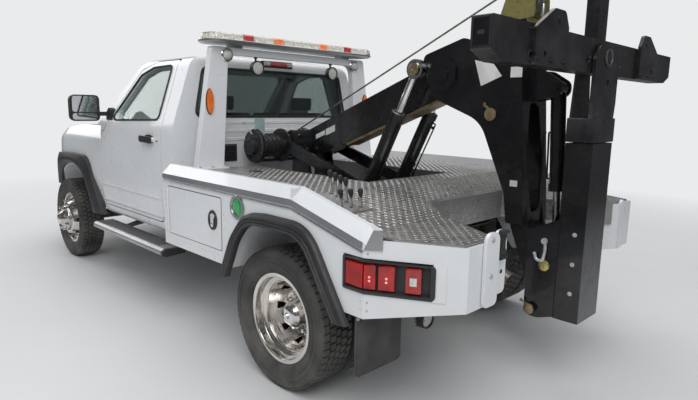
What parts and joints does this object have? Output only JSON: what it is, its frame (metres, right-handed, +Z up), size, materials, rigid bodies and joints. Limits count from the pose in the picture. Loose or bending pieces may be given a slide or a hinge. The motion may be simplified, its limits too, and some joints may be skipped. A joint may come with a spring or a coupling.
{
  "type": "tow truck",
  "caption": "Wrecker tow truck with a hollow cab, a steered front axle, dual rear wheels, a lifting boom with winch and a folding, extending wheel lift.",
  "frame": {"origin": "on the ground, under the middle of the truck's length and width", "axes": "+Y to the rear along the truck, +X to its left side, +Z up"},
  "size_m": [2.64, 5.862, 2.44],
  "materials": {
    "dark_rubber": "satin",
    "white_paint": "gloss",
    "black_paint": "gloss",
    "zinc_gold": "zinc dichromate",
    "glass": "clear",
    "black_plastic": "matt",
    "tread_plate": "bright",
    "chassis_black": "satin",
    "bare_steel": "satin",
    "chrome": "polished",
    "clear_lens": "clear",
    "aluminium": "satin",
    "seat_cloth": "woven",
    "grey_trim": "satin",
    "red_lens": "gloss",
    "tyre": "matt",
    "wheel_alloy": "polished",
    "steel_rope": "drawn"
  },
  "bodies": {
    "chassis": {"arch_flares": "dark_rubber", "body_left": "white_paint", "body_right": "white_paint", "boom_mast": "black_paint", "cab_glass": "glass", "cab_shell": "white_paint", "control_levers": "black_plastic", "dashboard": "black_plastic", "deck": "tread_plate", "drive_shaft": "chassis_black", "engine_block": "chassis_black", "exhaust_pipe": "bare_steel", "frame_crossmembers": "chassis_black", "frame_rails": "chassis_black", "front_axle": "chassis_black", "front_bumper": "chrome", "front_fenders": "white_paint", "fuel_tank": "chassis_black", "grille": "black_plastic", "headlamps": "clear_lens", "leaf_springs": "chassis_black", "light_bar": "clear_lens", "light_pylon": "white_paint", "mudflaps": "dark_rubber", "rear_axle": "chassis_black", "running_boards": "aluminium", "seats": "seat_cloth", "side_rails": "grey_trim", "tail_lamps": "red_lens", "work_lamps": "black_plastic"},
    "front_left_wheel": {"tyre_front_left": "tyre", "wheel_front_left": "wheel_alloy"},
    "front_right_wheel": {"tyre_front_right": "tyre", "wheel_front_right": "wheel_alloy"},
    "rear_left_wheels": {"tyres_rear_left": "tyre", "wheels_rear_left": "wheel_alloy"},
    "rear_right_wheels": {"tyres_rear_right": "tyre", "wheels_rear_right": "wheel_alloy"},
    "knuckle_left": {"knuckle_left": "chassis_black"},
    "knuckle_right": {"knuckle_right": "chassis_black"},
    "door_left": {"door_left": "white_paint", "door_glass_left": "glass", "mirror_left": "black_plastic"},
    "door_right": {"door_right": "white_paint", "door_glass_right": "glass", "mirror_right": "black_plastic"},
    "hood": {"hood": "white_paint"},
    "toolbox_door_left": {"toolbox_door_left": "white_paint"},
    "toolbox_door_right": {"toolbox_door_right": "white_paint"},
    "boom": {"boom": "black_paint", "boom_head": "zinc_gold", "winch": "black_paint", "winch_rope": "steel_rope"},
    "lift_barrels": {"lift_barrels": "black_paint"},
    "lift_rods": {"lift_rods": "chrome"},
    "fold_barrel": {"fold_barrel": "black_paint"},
    "fold_rod": {"fold_rod": "chrome"},
    "stinger": {"stinger_sleeve": "black_paint"},
    "stinger_inner": {"stinger_inner": "black_paint"},
    "crossbar": {"crossbar": "black_paint"}
  },
  "joints": [
    {"name": "steer_left", "type": "hinge", "parent": "chassis", "child": "knuckle_left", "pos_m": [0.862, -1.981, 0.405], "axis": [0, 0, 1], "range_deg": [-35, 35]},
    {"name": "steer_right", "type": "hinge", "parent": "chassis", "child": "knuckle_right", "pos_m": [-0.862, -1.981, 0.405], "axis": [0, 0, 1], "range_deg": [-35, 35]},
    {"name": "front_left_spin", "type": "hinge", "parent": "knuckle_left", "child": "front_left_wheel", "pos_m": [0.964, -1.981, 0.405], "axis": [1, 0, 0], "continuous": true},
    {"name": "front_right_spin", "type": "hinge", "parent": "knuckle_right", "child": "front_right_wheel", "pos_m": [-0.964, -1.981, 0.405], "axis": [1, 0, 0], "continuous": true},
    {"name": "rear_left_spin", "type": "hinge", "parent": "chassis", "child": "rear_left_wheels", "pos_m": [0.934, 1.689, 0.405], "axis": [1, 0, 0], "continuous": true},
    {"name": "rear_right_spin", "type": "hinge", "parent": "chassis", "child": "rear_right_wheels", "pos_m": [-0.934, 1.689, 0.405], "axis": [1, 0, 0], "continuous": true},
    {"name": "door_left_swing", "type": "hinge", "parent": "chassis", "child": "door_left", "pos_m": [1.018, -1.199, 1], "axis": [0, 0, -1], "range_deg": [0, 65]},
    {"name": "door_right_swing", "type": "hinge", "parent": "chassis", "child": "door_right", "pos_m": [-1.018, -1.199, 1], "axis": [0, 0, 1], "range_deg": [0, 65]},
    {"name": "hood_lift", "type": "hinge", "parent": "chassis", "child": "hood", "pos_m": [0, -1.347, 1.392], "axis": [-1, 0, 0], "range_deg": [0, 50]},
    {"name": "toolbox_left_swing", "type": "hinge", "parent": "chassis", "child": "toolbox_door_left", "pos_m": [1.199, 0.511, 0.87], "axis": [0, 0, -1], "range_deg": [0, 100]},
    {"name": "toolbox_right_swing", "type": "hinge", "parent": "chassis", "child": "toolbox_door_right", "pos_m": [-1.199, 0.511, 0.87], "axis": [0, 0, 1], "range_deg": [0, 100]},
    {"name": "boom_lift", "type": "hinge", "parent": "chassis", "child": "boom", "pos_m": [0, 0.639, 1.225], "axis": [1, 0, 0], "range_deg": [-6, 15]},
    {"name": "lift_barrel_tilt", "type": "hinge", "parent": "chassis", "child": "lift_barrels", "pos_m": [0, 1.399, 0.965], "axis": [1, 0, 0], "range_deg": [-6.66, 15.9]},
    {"name": "lift_rod_slide", "type": "slide", "parent": "lift_barrels", "child": "lift_rods", "axis": [0, 0.4493, 0.8934], "range_m": [-0.0877, 0.2132]},
    {"name": "stinger_fold", "type": "hinge", "parent": "boom", "child": "stinger", "pos_m": [0, 2.669, 0.487], "axis": [-1, 0, 0], "range_deg": [0, 90]},
    {"name": "fold_barrel_tilt", "type": "hinge", "parent": "boom", "child": "fold_barrel", "pos_m": [0, 2.674, 1.7], "axis": [-1, 0, 0], "range_deg": [-8.85, 1]},
    {"name": "fold_rod_slide", "type": "slide", "parent": "fold_barrel", "child": "fold_rod", "axis": [0, 0.0596, -0.9982], "range_m": [-0.004, 0.3484]},
    {"name": "stinger_extend", "type": "slide", "parent": "stinger", "child": "stinger_inner", "axis": [0, 0, 1], "range_m": [0, 0.55]},
    {"name": "crossbar_swivel", "type": "hinge", "parent": "stinger_inner", "child": "crossbar", "pos_m": [0, 2.854, 1.846], "axis": [0, 1, 0], "range_deg": [-20, 20]}
  ],
  "couplings": [
    {"joint": "steer_right", "follows": "steer_left", "ratio": 1},
    {"joint": "lift_barrel_tilt", "follows": "boom_lift", "ratio": 1.027},
    {"joint": "lift_rod_slide", "follows": "boom_lift", "m_per_rad": 0.79906},
    {"joint": "fold_barrel_tilt", "follows": "stinger_fold", "ratio": -0.08719},
    {"joint": "fold_rod_slide", "follows": "stinger_fold", "m_per_rad": 0.21922}
  ]
}
